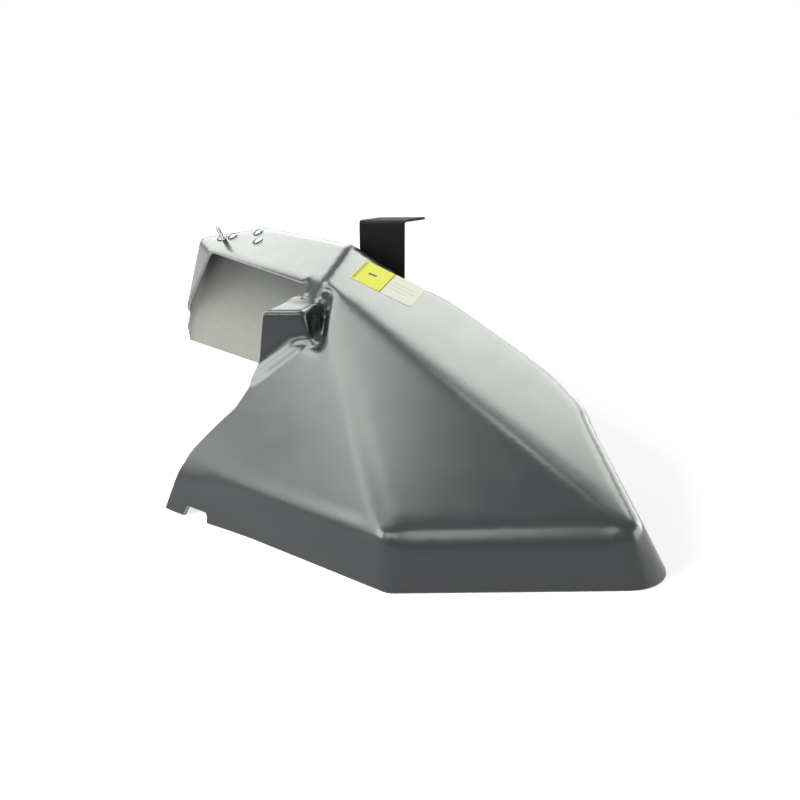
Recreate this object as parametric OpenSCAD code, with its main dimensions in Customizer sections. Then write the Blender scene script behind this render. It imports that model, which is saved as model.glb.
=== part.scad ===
// Side discharge deflector of a mowing deck: a moulded sheet hood that rests
// on its rim, with a steel hanger on the far side and a steel plate, screws
// and a stud at the far left end.
// Axes: X along the front skirt, Y towards the far end, Z up; the origin lies
// on the rim of the front skirt, near the corner with the left skirt.

/* [Hood] */

// width, from the far left end to the foot of the right wall
hood_w = 457; // [400:1:520]

// length, from the front skirt to the far end
hood_l = 617; // [560:1:680]

// height of the peak of the top
hood_h = 206; // [190:1:225]

// height of the upright skirt along the front
skirt_h = 47; // [38:1:56]

// thickness of the moulded sheet
sheet_t = 4; // [3:0.25:5]

// outer radius of the folds
fold_r = 10; // [8:0.5:13]

// radius of the front right corner at the rim
corner_r = 38; // [24:1:46]

// radius of the front right corner at the top of the skirt
corner_top_r = 20; // [14:1:24]

/* [Mouth] */

// depth of the rolled lip over the mouth
lip_h = 2.5; // [1:0.25:8]

// radius that softens the trimmed outline of the mouth
trim_r = 7; // [3:0.5:10]

// length of the notch in the left skirt
notch_l = 29; // [16:1:36]

// height of the notch in the left skirt
notch_h = 10; // [6:0.5:16]

/* [Shelf] */

// drop of the bolting shelf below the peak
shelf_drop = 32; // [28:0.5:38]

// width of the shelf along its front edge
shelf_w = 31; // [26:1:36]

// bolt hole through the shelf
shelf_hole_d = 6.5; // [5:0.1:8]

// edge radius of the shelf
shelf_r = 5.5; // [5.25:0.25:7]

/* [End fittings] */

// diameter of the end screws
screw_d = 6; // [5:0.5:6.5]

// diameter of the screw heads
head_d = 11.5; // [10:0.1:12]

// height of the domed screw heads
head_h = 3.2; // [2.5:0.1:4]

// distance between the two near screws
screw_pitch = 26; // [22:0.5:30]

// thickness of the backing plate
plate_t = 2.5; // [2:0.25:4]

// diameter of the threaded stud
stud_d = 5; // [4:0.5:6]

// length of the stud above the hood
stud_out = 16; // [10:1:24]

// thickness of the nuts
nut_h = 4.5; // [3.5:0.25:6]

/* [Hanger] */

// width of the upright plate
hanger_w = 42; // [36:1:50]

// height of the hanger's top above the peak
hanger_up = 19; // [12:1:30]

// depth of the top flange
flange_d = 23; // [16:1:34]

// thickness of the steel
steel_t = 2.5; // [2:0.25:3.5]

// diameter of the hanger bolts
bolt_d = 6; // [5:0.5:6.5]

// distance between the hanger bolts
bolt_pitch = 34; // [28:1:40]

/* [Sticker] */

// length of the sticker
sticker_l = 62; // [50:1:66]

// width of the sticker
sticker_w = 33; // [26:1:36]

/* [Hidden] */

slack = 0.1;                     // clearance between pieces that meet
sticker_t = 0.3;
stud_shank = stud_d - 1;         // diameter of the stud under the panel
big = 3 * hood_l;

plastic = [0.24, 0.245, 0.255];
steel = [0.76, 0.76, 0.74];
black = [0.12, 0.13, 0.13];

// A place in shares of the hood's width and length from the front left corner.
corner = [-10, -2];
function at(sx, sy, z = 0) =
    [sx * hood_w + corner[0], sy * hood_l + corner[1], z];

// Upward normal of the plane through three points.
function up(n) = n * sign(n[2]) / norm(n);
function face(a, b, c) = up(cross(b - a, c - a));

// The point over or under q in the plane through p with the normal n.
function over(p, n, q) =
    [q[0], q[1], p[2] - (n[0] * (q[0] - p[0]) + n[1] * (q[1] - p[1])) / n[2]];

// The point at x and z in that plane.
function across(p, n, x, z) =
    [x, p[1] - (n[0] * (x - p[0]) + n[2] * (z - p[2])) / n[1], z];

// Where a wall's fold runs out below the rim, so that the wall stays straight.
function foot(top, base) = base + (base - top) * fold_r / top[2];

// Centres of the rounded corners of the top.
peak = at(-0.065, 0.454, hood_h - fold_r);
apex = at(-0.113, 0.361, 0.92 * peak[2]);
far_mid = at(-0.258, 0.707, 0.871 * peak[2]);
crease = at(0.002, 0.025, skirt_h - 5.3);
right_top = at(0.426, 0.025, skirt_h - 2.6);

// The two large panels of the top, the far wall and the mouth side's panel.
n_right = face(apex, right_top, peak);
n_left = face(apex, peak, far_mid);
right_far = over(apex, n_right, at(0.352, 0.216));
n_far = face(peak, right_far, far_mid);
far_left = over(apex, n_left, at(-0.406, 0.804));
lip_left = over(apex, n_left, at(-0.370, 0.718));
left_top = at(-0.436, 0.296, skirt_h - 5);
n_mouth = face(apex, crease, left_top);
wing_tip = over(apex, n_mouth, at(-0.275, 0.376));

// Centres of the rounded corners at the rim.
crease_foot = foot(crease, at(0.008, 0.016));
right_foot = foot(right_top, at(0.475, 0.016));
far_foot = across(peak, n_far, at(0.459, 0)[0], -fold_r);
end_foot = foot(far_left, at(-0.497, 0.966));
left_foot = left_top
    + (crease_foot - crease) * (left_top[2] + fold_r) / (crease[2] + fold_r);

function below(p) = [p[0], p[1], -fold_r];

// Level direction out of the mouth, square to a line that runs to the far end.
function side(v) = [-v[1], v[0], 0] / norm([v[0], v[1]]);

// Outline of the mouth, seen from above, from the left skirt to the lip.
shelf_z = hood_h - shelf_drop;
shelf_x = at(-0.151, 0)[0];      // right end of the shelf's front edge
shelf_y = at(0, 0.304)[1];       // front edge of the shelf
lip_right = at(-0.146, 0.386);
mouth_outline = [
    at(-0.70, 0.235), at(-0.381, 0.254), at(-0.284, 0.269),
    at(-0.256, 0.284), at(-0.238, 0.297),
    [shelf_x - shelf_w, shelf_y + 4, 0],
    at(-0.195, 0.337), at(-0.175, 0.366), lip_right,
    at(-0.153, 0.395), at(-0.70, 0.395)];

hole = [shelf_x - 2, shelf_y + 34];

// Line along the foot of the lip and of the end wall, as seen in the mouth.
end_tip = at(-0.500, 0.960);
end_dir = end_tip - lip_right;
end_az = atan2(end_dir[1], end_dir[0]);
function along(p) = (p - lip_right) * end_dir / norm(end_dir);

// Surface points of the panels above the corner centres.
left_face = apex + fold_r * n_left;
right_face = apex + fold_r * n_right;
far_face = peak + fold_r * n_far;

// Frame of the far left end's fittings on the left panel, and their places.
end_mid = over(left_face, n_left, at(-0.311, 0.690));
near_screw = [17.5, 7];
far_screw = [-27, 42];
screw_places = [far_screw, far_screw + [13.5, -11],
                near_screw, near_screw - [-1, screw_pitch]];
stud_place = far_screw + [3.5, -10];
plate_edge = 5.25;               // from a screw's middle to the plate's edge

// The hanger's foot lies on the far wall behind the peak.
foot_mid = over(far_face, n_far, at(0.009, 0.484));
hanger_x = at(0, 0)[0];
hanger_y = at(0, 0.478)[1];
foot_l = 62;
foot_w = 64;
flange_turn = 34;                // the flange leaves square to the far wall
wall_turn = atan2(n_far[1], n_far[0]) - 90;
bolt_turn = -20;                 // the bolts sit square to the upright plate
bolt_places = [for (s = [-1, 1])
    [2.6, -1] + s * bolt_pitch / 2 * [cos(bolt_turn), sin(bolt_turn)]];

// The sticker's middle and turn on the right panel.
sticker_mid = over(right_face, n_right, at(0.010, 0.383));
sticker_turn = -25;

// Seats its children on the point p of a face with the normal n.
module seat(p, n) {
    az = atan2(n[1], n[0]);
    translate(p) rotate([0, 0, az]) rotate([0, acos(n[2]), 0])
        rotate([0, 0, -az]) children();
}

module ball(p, r) {
    translate(p) rotate([17, 29, 11]) sphere(r, $fn = 32);
}

// A corner that is rounded by R as seen from above, with folds of radius r.
module ring(p, R, r) {
    back = R - fold_r;
    translate([p[0] - back, p[1] + back, p[2]])
        rotate_extrude($fn = 48) translate([back, 0]) circle(r, $fn = 32);
}

// Main form of the hood, with its faces drawn in by d.
module chute(d = 0) {
    r = fold_r - d;
    hull() {
        for (p = [crease_foot, far_foot, end_foot, below(lip_left), crease,
                  apex, peak, right_far, far_mid, far_left, lip_left])
            ball(p, r);
        ring(right_foot, corner_r, r);
        ring(right_top, corner_top_r, r);
    }
}

// The wing that carries the left skirt past the mouth.
module wing(d = 0) {
    hull()
        for (p = [crease_foot, crease, apex, left_top, left_foot, wing_tip,
                  below(wing_tip), at(0.09, 0.33, 0.2 * hood_h)])
            ball(p, fold_r - d);
}

// The box that the bolting shelf tops.
module shelf_box(d = 0) {
    r = shelf_r;
    x = shelf_x;
    y = shelf_y;
    hull()
        for (p = [[x - 3 * r, y + r], [x - r, y + r], [x + 12, y + 15],
                  [x + 12, y + 40], [x - 60, y + 40], [x - 60, y + r]]) {
            ball([p[0], p[1], shelf_z - r], r - d);
            ball([p[0] + 2, p[1] - 5, shelf_z - 60], r - d);
        }
}

// Air over the shelf, where it is let into the panels.
module shelf_pocket(d = 0) {
    translate([shelf_x - 30, shelf_y + 10, shelf_z - d])
        linear_extrude(height = 26 + d, scale = 1.3)
            offset(r = 6 + d, $fn = 24)
                polygon([[-70, -50], [40, -50], [42, 20], [34, 32],
                         [-70, 32]]);
}

// Everything in front of the mouth, from the left skirt to the lip.
module mouth_air() {
    translate([0, 0, -big / 2]) linear_extrude(height = big)
        offset(r = -trim_r, $fn = 32) offset(delta = 2 * trim_r)
            offset(r = -trim_r, $fn = 32)
                polygon([for (p = mouth_outline) [p[0], p[1]]]);
}

// The strip of wall under the lip and the end wall's tapered edge.
module mouth_window() {
    lip_x = along([lip_left[0] - fold_r, lip_left[1], 0]);
    end_x = norm(end_dir);
    lip_z = lip_left[2] + fold_r - lip_h;
    apex_z = over(left_face, n_left, lip_right)[2] - lip_h;
    intersection() {
        translate([lip_right[0], lip_right[1], 0])
            rotate([90, 0, end_az])
                linear_extrude(height = 120, center = true)
                    polygon([[-4, -20], [-4, apex_z], [lip_x, lip_z],
                             [end_x - 20, skirt_h], [end_x + 40, skirt_h],
                             [end_x + 40, -20]]);
        linear_extrude(height = hood_h) mouth_strip(sheet_t + 0.4, fold_r);
    }
}

// The slanted trim of the far wall where it ends at the tip.
module tip_trim() {
    top_x = at(-0.499, 0)[0];
    foot_x = at(-0.490, 0)[0];
    translate([0, hood_l, 0]) rotate([90, 0, 0])
        linear_extrude(height = 0.25 * hood_l)
            polygon([[top_x, skirt_h], [foot_x, 0], [foot_x, -20],
                     [top_x - 40, -20], [top_x - 40, skirt_h]]);
}

// The plan of the window, from outside to depth d behind the lip's face and
// to depth e behind the end wall's.
module mouth_strip(d, e) {
    lip_out = side(lip_left - apex);
    end_out = side(end_foot - lip_left);
    a = lip_left + fold_r * (lip_out + end_out) / 2;
    far = end_foot + fold_r * end_out + 0.2 * (end_foot - lip_left);
    polygon([for (p = [lip_right - d * lip_out, a - d * lip_out,
                       a - e * end_out, far - e * end_out,
                       far + 60 * end_out, a + 60 * end_out,
                       lip_right + 60 * lip_out])
             [p[0], p[1]]]);
}

// The notch that clears a fitting on the deck.
module notch() {
    az = atan2(left_foot[1] - crease_foot[1], left_foot[0] - crease_foot[0]);
    translate(corner) rotate([90, 0, az])
        translate([0.435 * hood_w + notch_l / 2, 0, 0])
        linear_extrude(height = 80, center = true)
            polygon([[-notch_l / 2, -1], [notch_l / 2, -1],
                     [notch_l / 2 - 4, notch_h],
                     [-notch_l / 2 + 1, notch_h]]);
}

// Turns its children into the frame of the hanger's foot.
module on_far_wall() {
    seat(foot_mid, n_far) rotate([0, 0, wall_turn]) children();
}

module at_each(places) {
    for (p = places) translate([p[0], p[1], 0]) children();
}

module drill(d) {
    cylinder(h = 40, d = d, center = true, $fn = 32);
}

// Domed screw head on z = 0, with a cross recess.
module dome_head(d, h) {
    r = (d * d / 4 + h * h) / (2 * h);
    difference() {
        intersection() {
            translate([0, 0, h - r]) sphere(r, $fn = 64);
            cylinder(h = h, d = d, $fn = 32);
        }
        translate([0, 0, h]) for (a = [0, 90])
            rotate([0, 0, a]) cube([0.5 * d, 0.12 * d, 0.8 * h],
                                   center = true);
    }
}

// Shank that runs down from z = 0.
module shank(d, l) {
    translate([0, 0, -l]) cylinder(h = l, d = d, $fn = 32);
}

// Hex nut whose upper face is at -depth.
module nut(d, depth) {
    translate([0, 0, -depth - nut_h]) difference() {
        cylinder(h = nut_h, d = 1.9 * d, $fn = 6);
        translate([0, 0, -1])
            cylinder(h = nut_h + 2, d = d + 2 * slack, $fn = 32);
    }
}

// The trimmed sheet as one closed skin, before it is drilled.
module moulded_sheet() {
    resize([0, 0, 0]) difference() {
        union() {
            chute();
            wing();
            shelf_box();
        }
        difference() {
            union() {
                chute(sheet_t);
                wing(sheet_t);
                shelf_box(sheet_t);
            }
            shelf_pocket(sheet_t);
        }
        shelf_pocket();
        mouth_air();
        mouth_window();
        tip_trim();
        notch();
        translate([-big / 2, -big / 2, -big]) cube([big, big, big]);
    }
}

module hood_shell() {
    color(plastic) difference() {
        moulded_sheet();
        seat(end_mid, n_left) {
            at_each(screw_places) drill(screw_d + 0.6);
            at_each([stud_place]) drill(stud_shank + 0.6);
        }
        on_far_wall() at_each(bolt_places) drill(bolt_d + 0.6);
        translate([hole[0], hole[1], shelf_z])
            cylinder(h = 30, d = shelf_hole_d, center = true, $fn = 48);
    }
}

module hanger_bracket() {
    top = hood_h + hanger_up;
    color(black) {
        on_far_wall() translate([0, 0, slack]) difference() {
            linear_extrude(height = steel_t)
                offset(r = 6, $fn = 32)
                    square([foot_l - 12, foot_w - 12], center = true);
            at_each(bolt_places) drill(bolt_d + 0.6);
        }
        intersection() {
            translate([hanger_x - hanger_w / 2, hanger_y, 0])
                cube([hanger_w, steel_t, top]);
            on_far_wall() translate([-big / 2, -big / 2, slack])
                cube([big, big, big]);
        }
        translate([hanger_x, hanger_y, top - steel_t])
            linear_extrude(height = steel_t)
                polygon([[-hanger_w / 2, 0], [hanger_w / 2, 0],
                         [hanger_w / 2 + flange_d * cos(flange_turn),
                          flange_d * sin(flange_turn)],
                         [-hanger_w / 2 + flange_d * cos(flange_turn),
                          flange_d * sin(flange_turn)]]);
    }
}

module hanger_bolts() {
    color(steel) on_far_wall() at_each(bolt_places) {
        translate([0, 0, steel_t + 2 * slack]) {
            cylinder(h = 4, d = 1.7 * bolt_d, $fn = 6);
            shank(bolt_d, sheet_t + steel_t + nut_h + 3);
        }
    }
}

module hanger_nuts() {
    color(steel) on_far_wall() at_each(bolt_places)
        nut(bolt_d, sheet_t + slack);
}

// Steel plate that backs the sheet under the end screws.
module end_plate() {
    color(steel) seat(end_mid, n_left) difference() {
        translate([0, 0, -sheet_t - slack - plate_t])
            linear_extrude(height = plate_t)
                offset(r = plate_edge, $fn = 32)
                    polygon(concat(screw_places,
                                   [far_screw + [13, -28]]));
        at_each(screw_places) drill(screw_d + 0.6);
        at_each([stud_place]) drill(stud_shank + 0.6);
    }
}

module end_screws() {
    color(steel) seat(end_mid, n_left) at_each(screw_places)
        translate([0, 0, slack]) {
            dome_head(head_d, head_h);
            shank(screw_d, sheet_t + plate_t + nut_h + 3);
        }
}

module end_nuts() {
    color(steel) seat(end_mid, n_left) at_each(screw_places)
        nut(screw_d, sheet_t + plate_t + 2 * slack);
}

// Threaded stud that stands square to the panel, on a slimmer shank.
module end_stud() {
    under = sheet_t + plate_t + nut_h + 3;
    color(steel) seat(end_mid, n_left) at_each([stud_place]) {
        cylinder(h = stud_out, d = stud_d, $fn = 32);
        shank(stud_shank, under);
    }
}

module stud_nut() {
    color(steel) seat(end_mid, n_left) at_each([stud_place])
        nut(stud_shank, sheet_t + plate_t + 2 * slack);
}

// One half of the two-tone sticker, to the side s of its middle.
module sticker_half(s) {
    seat(sticker_mid, n_right) rotate([0, 0, sticker_turn])
        translate([min(0, s) * sticker_l / 2, -sticker_w / 2, slack / 2])
            cube([sticker_l / 2, sticker_w, sticker_t]);
}

module sticker_yellow() {
    color([0.95, 0.95, 0.35]) sticker_half(-1);
}

module sticker_white() {
    color([0.97, 0.97, 0.84]) sticker_half(1);
}

hood_shell();
hanger_bracket();
hanger_bolts();
hanger_nuts();
end_plate();
end_screws();
end_nuts();
end_stud();
stud_nut();
sticker_yellow();
sticker_white();
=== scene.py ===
"""Looks of a side discharge deflector of a mowing deck: the moulded hood, its hanger, fasteners, stud and sticker."""

import math
from types import SimpleNamespace

import bmesh
import bpy
import numpy as np
from bpy.props import FloatProperty, FloatVectorProperty, PointerProperty
from mathutils import Matrix, Vector
from mathutils.bvhtree import BVHTree


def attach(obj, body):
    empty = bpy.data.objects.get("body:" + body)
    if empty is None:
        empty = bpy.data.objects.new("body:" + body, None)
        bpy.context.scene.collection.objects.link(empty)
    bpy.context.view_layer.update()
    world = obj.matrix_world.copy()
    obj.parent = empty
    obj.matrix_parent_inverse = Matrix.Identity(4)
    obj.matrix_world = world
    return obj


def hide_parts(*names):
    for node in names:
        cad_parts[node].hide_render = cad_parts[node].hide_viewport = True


bl_info = {
    "name": "Mower deck deflector",
    "version": (1, 0, 0),
    "blender": (4, 5, 0),
    "location": "3D View > Sidebar > Deflector",
    "description": "Builds the looks of a mower deck deflector around its packed solids",
    "category": "Object",
}

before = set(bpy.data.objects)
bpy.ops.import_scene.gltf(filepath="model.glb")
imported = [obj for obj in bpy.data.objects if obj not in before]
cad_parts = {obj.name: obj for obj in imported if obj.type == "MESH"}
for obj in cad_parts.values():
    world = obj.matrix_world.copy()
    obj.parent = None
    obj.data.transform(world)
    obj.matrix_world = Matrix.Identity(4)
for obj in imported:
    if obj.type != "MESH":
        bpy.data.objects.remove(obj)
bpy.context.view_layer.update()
MM = 0.001
MIDDLE = (-0.01, 0.28, 0.09)
BEND_R = 1.5
FLANGE_TURN = math.radians(34)
BOLT_TURN = math.radians(-20)
STICKER_TURN = math.radians(-25)
SCREWS = ((-27, 42), (-13.5, 31), (17.5, 7), (18.5, -19))
STUD = (-23.5, 32)


def linear(hex_colour):
    """An sRGB hex value as a linear colour with alpha."""
    parts = [int(hex_colour[i:i + 2], 16) / 255 for i in (1, 3, 5)]
    return [c / 12.92 if c <= 0.04045 else ((c + 0.055) / 1.055) ** 2.4 for c in parts] + [1.0]


def node(tree, kind, links=(), **settings):
    """Adds a node to a tree, with its settings and its inputs' values or links."""
    made = tree.nodes.new(kind)
    for name, value in settings.items():
        setattr(made, name, value)
    for socket, value in dict(links).items():
        if isinstance(value, bpy.types.NodeSocket):
            tree.links.new(value, made.inputs[socket])
        else:
            made.inputs[socket].default_value = value
    return made


def new_material(name):
    """A material with an empty tree, ready for its nodes."""
    made = bpy.data.materials.new(name)
    made.use_nodes = True
    made.node_tree.nodes.clear()
    return made, made.node_tree



def mesh_object(name, verts, faces, material=None, smooth=True):
    """An object whose mesh has these points, in metres, and faces."""
    mesh = bpy.data.meshes.new(name)
    mesh.from_pydata([tuple(v) for v in verts], [], [tuple(f) for f in faces])
    mesh.validate()
    if smooth:
        mesh.shade_smooth()
    if material:
        mesh.materials.append(material)
    made = bpy.data.objects.new(name, mesh)
    bpy.context.scene.collection.objects.link(made)
    return made


def place(piece, slot, *nodes):
    """Rides a piece on the hood's one body and hides the nodes it stands for."""
    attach(piece, "root")
    if nodes:
        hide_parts(*nodes)
    return piece


# The form of the hood, in millimetres.


def unit(v):
    return v / np.linalg.norm(v)


def upward(n):
    return unit(n) * np.sign(n[2])


def face_normal(a, b, c):
    """Upward normal of the plane through three points."""
    return upward(np.cross(b - a, c - a))


def over(p, n, q):
    """The point over or under q in the plane through p with the normal n."""
    return np.array([q[0], q[1], p[2] - (n[0] * (q[0] - p[0]) + n[1] * (q[1] - p[1])) / n[2]])


def across(p, n, x, z):
    """The point at x and z in that plane."""
    return np.array([x, p[1] - (n[0] * (x - p[0]) + n[2] * (z - p[2])) / n[1], z])


def seat(p, n, turn=0.0):
    """The frame on the point p of a face with the normal n, turned about the normal."""
    az = math.atan2(n[1], n[0])
    return (Matrix.Translation(Vector(p)) @ Matrix.Rotation(az, 4, "Z")
            @ Matrix.Rotation(math.acos(n[2]), 4, "Y") @ Matrix.Rotation(turn - az, 4, "Z"))


class Form:
    """The corners, panels and fittings' places of the hood, worked out from its driving sizes."""

    def __init__(self, mm):
        self.mm = mm
        self.w, self.l, self.h, self.fold = mm.width, mm.length, mm.height, mm.fold
        skirt, r, at = mm.skirt, mm.fold, self.at
        self.peak = at(-0.065, 0.454, self.h - r)
        self.apex = at(-0.113, 0.361, 0.92 * self.peak[2])
        self.far_mid = at(-0.258, 0.707, 0.871 * self.peak[2])
        self.crease = at(0.002, 0.025, skirt - 5.3)
        self.right_top = at(0.426, 0.025, skirt - 2.6)
        self.n_right = face_normal(self.apex, self.right_top, self.peak)
        self.n_left = face_normal(self.apex, self.peak, self.far_mid)
        self.right_far = over(self.apex, self.n_right, at(0.352, 0.216))
        self.n_far = face_normal(self.peak, self.right_far, self.far_mid)
        self.far_left = over(self.apex, self.n_left, at(-0.406, 0.804))
        self.lip_left = over(self.apex, self.n_left, at(-0.370, 0.718))
        self.left_top = at(-0.436, 0.296, skirt - 5)
        self.n_mouth = face_normal(self.apex, self.crease, self.left_top)
        self.wing_tip = over(self.apex, self.n_mouth, at(-0.275, 0.376))
        self.crease_foot = self.foot(self.crease, at(0.008, 0.016))
        self.right_foot = self.foot(self.right_top, at(0.475, 0.016))
        self.far_foot = across(self.peak, self.n_far, at(0.459, 0)[0], -r)
        self.end_foot = self.foot(self.far_left, at(-0.497, 0.966))
        self.left_foot = self.left_top + (self.crease_foot - self.crease) * (
            (self.left_top[2] + r) / (self.crease[2] + r))
        self.shelf_z = self.h - mm.shelf_drop
        self.shelf_x, self.shelf_y = at(-0.151, 0)[0], at(0, 0.304)[1]
        self.shelf_r = 3.0
        self.lip_right = at(-0.146, 0.386)
        self.end_tip = at(-0.500, 0.960)
        self.hanger_y = at(0, 0.478)[1]
        self.end_mid = over(self.apex + r * self.n_left, self.n_left, at(-0.311, 0.690))
        self.foot_mid = over(self.peak + r * self.n_far, self.n_far, at(0.009, 0.484))
        self.wall_turn = math.atan2(self.n_far[1], self.n_far[0]) - math.pi / 2
        self.sticker_mid = over(self.apex + r * self.n_right, self.n_right, at(0.010, 0.383))

    def at(self, sx, sy, z=0.0):
        """A place in shares of the hood's width and length from its front left corner."""
        return np.array([sx * self.w - 10, sy * self.l - 2, z], float)

    def foot(self, top, base):
        return base + (base - top) * self.fold / top[2]

    def below(self, p):
        return np.array([p[0], p[1], -self.fold])

    def circle(self, p, radius, count=20):
        """Points round the inside of a corner whose outer radius is given."""
        back = radius - self.fold
        turns = np.linspace(0, 2 * math.pi, count, endpoint=False)
        return [p + [back * (math.cos(a) - 1), back * (math.sin(a) + 1), 0] for a in turns]


class Solid:
    """A convex core whose skin lies a radius outside it."""

    def __init__(self, points, radius):
        hull = bmesh.new()
        for p in points:
            hull.verts.new(p)
        bmesh.ops.convex_hull(hull, input=hull.verts)
        self.tree = BVHTree.FromBMesh(hull)
        hull.normal_update()
        centre = np.mean(points, axis=0)
        self.planes = []
        for f in hull.faces:
            n = np.array(f.normal)
            c = float(n @ np.array(f.verts[0].co))
            if n @ centre > c:
                n, c = -n, -c
            self.planes.append((n, c))
        self.radius = radius
        hull.free()

    def distance(self, x, y, z, reach):
        """Signed distance from the skin, exact near it."""
        rough = np.full(np.broadcast_shapes(x.shape, y.shape, z.shape), -1e9, np.float32)
        for n, c in self.planes:
            np.maximum(rough, (n[0] * x + n[1] * y + n[2] * z - c).astype(np.float32), out=rough)
        exact = rough - self.radius
        near = np.nonzero((rough > 0) & (rough < self.radius + reach))
        px, py, pz = (np.broadcast_to(a, rough.shape)[near] for a in (x, y, z))
        find = self.tree.find_nearest
        exact[near] = [find(p)[3] - self.radius for p in zip(px, py, pz)]
        return exact


def soft_min(a, b, k):
    h = np.maximum(k - np.abs(a - b), 0) / k
    return np.minimum(a, b) - h * h * k / 4


def soft_max(a, b, k):
    return -soft_min(-a, -b, k)


def graded(low, high, fine_low, fine_high, fine, coarse):
    """Grid lines from low to high that lie closer together between two places."""
    def run(a, b, step):
        return np.linspace(a, b, max(2, round((b - a) / step) + 1))
    return np.concatenate([run(low, fine_low, coarse)[:-1], run(fine_low, fine_high, fine)[:-1],
                           run(fine_high, high, coarse)])


def hood_field(form, x, y, z):
    """How far each grid point lies outside the hood's outer skin, before it is trimmed."""
    r, s = form.fold, form.shelf_r
    chute = Solid([form.crease_foot, form.far_foot, form.end_foot, form.below(form.lip_left),
                   form.crease, form.apex, form.peak, form.right_far, form.far_mid, form.far_left,
                   form.lip_left, *form.circle(form.right_foot, form.mm.corner),
                   *form.circle(form.right_top, form.mm.corner_top)], r)
    wing = Solid([form.crease_foot, form.crease, form.apex, form.left_top, form.left_foot,
                  form.wing_tip, form.below(form.wing_tip), form.at(0.09, 0.33, 0.2 * form.h)], r)
    sx, sy, sz = form.shelf_x, form.shelf_y, form.shelf_z
    corners = [[sx - s, sy + s], [sx + 15, sy + 34], [sx + 15, sy + 60], [sx - 60, sy + 60], [sx - 60, sy + s]]
    drafts = [[16, -6], [16, -8], [16, 0], [0, 0], [0, -5]]
    box = Solid([[a, b, sz - s] for a, b in corners]
                + [[a + c, b + d, sz - 60] for (a, b), (c, d) in zip(corners, drafts)], s)
    px, py, pr = sx - 30, sy + 10, 6.0
    outline = [[-70, -50], [69, -50], [25, 36], [-70, 36]]
    pocket = Solid([[px + a, py + b, sz + pr] for a, b in outline]
                   + [[px + a + (12 if a > 0 else 0), py + b + 6, sz + 40] for a, b in outline], pr)
    reach = 10.0
    skin = np.minimum(chute.distance(x, y, z, reach), wing.distance(x, y, z, reach))
    around = [[sx - 80, sy - 60], [sx + 5, sy - 60], [sx + 15, sy + 23], [sx - 80, sy + 23]]
    step = Solid([[a, b, sz - form.mm.step + pr] for a, b in around]
                 + [[a + (5 if a > sx else 0), b - 9, sz + 40] for a, b in around], pr)
    skin = soft_max(skin, -step.distance(x, y, z, reach), 4.0)
    near_box = box.distance(x, y, z, form.mm.pad_out + reach)
    pad = soft_max(skin - form.mm.pad_up, near_box - form.mm.pad_out, 2.5)
    pad = soft_max(pad, (z - sz - 1).astype(np.float32), 3.0)
    skin = soft_min(skin, pad, 2.5)
    skin = soft_min(skin, near_box, 5.0)
    return soft_max(skin, -pocket.distance(x, y, z, reach), 5.0)


def ramp(value, low, high):
    """0 below a range, 1 above it and smooth between."""
    t = np.clip((value - low) / (high - low), 0, 1)
    return t * t * (3 - 2 * t)


def soft_fold(form, p, start, end, n_first, n_second, reach):
    """Rounds the fold between two faces far more than the fold's own radius."""
    out = unit(n_first + n_second)
    start = start + form.fold * out
    way = end + form.fold * out - start
    side = unit(np.cross(out, way))
    rel = p - start
    along = rel @ way / (way @ way)
    beside = np.sqrt((rel @ side) ** 2 + 5.0)
    slope = math.tan(math.acos(n_first @ n_second) / 2)
    sink = slope * np.maximum(reach - beside, 0) ** 3 / (3 * reach ** 2)
    on_skin = np.abs(rel @ out + slope * beside) < 12
    sink = np.where(on_skin, sink * ramp(along, -0.02, 0.10) * (1 - ramp(along, 0.88, 1.0)), 0)
    return p - sink[:, None] * out


def soft_folds(form, p):
    """The crease, the ridge and the skirts' folds."""
    n_front = face_normal(form.crease, form.right_top, form.apex)
    n_skirt = face_normal(form.crease, form.right_top, form.crease_foot)
    n_left_skirt = face_normal(form.crease, form.left_top, form.crease_foot)
    mm = form.mm
    p = soft_fold(form, p, form.crease, form.apex, n_front, form.n_mouth, mm.crease_reach)
    p = soft_fold(form, p, form.right_top, form.apex, n_front, form.n_right, mm.ridge_reach)
    p = soft_fold(form, p, form.crease, form.right_top, n_front, n_skirt, mm.skirt_reach)
    return soft_fold(form, p, form.crease, form.left_top, form.n_mouth, n_left_skirt, mm.skirt_reach)


def bowed_edge(form, p):
    """The far edge bows outwards between the hanger and the right end."""
    way = (form.right_far - form.peak)[:2]
    length = np.linalg.norm(way)
    way = way / length
    out = np.array([-way[1], way[0]])
    rel = p[:, :2] - form.peak[:2]
    share = rel @ way / length
    inset = form.fold - rel @ out
    amount = form.mm.bow * ramp(share, 0.18, 0.45) * (1 - ramp(share, 0.82, 1.10)) * (1 - ramp(inset, 12, 75))
    rise = -(form.n_right[:2] @ out) / form.n_right[2] * np.clip(p[:, 2] / 120, 0, 1)
    return p + np.column_stack([amount * out[0], amount * out[1], amount * rise])


def flared_end(form, p):
    """The left skirt flares towards its free end."""
    near = ramp(-p[:, 0], 118, 190) * (p[:, 1] < 0.4 * form.l)
    low = np.clip(1 - p[:, 2] / (form.mm.skirt - 4), 0, 1)
    above = np.clip(1 - (p[:, 2] - form.mm.skirt) / 30, 0, 1)
    shift = near * (form.mm.flare_top * above * (1 - low) - form.mm.flare * low)
    return p + np.column_stack([shift, 0 * shift, 0 * shift])


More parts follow.
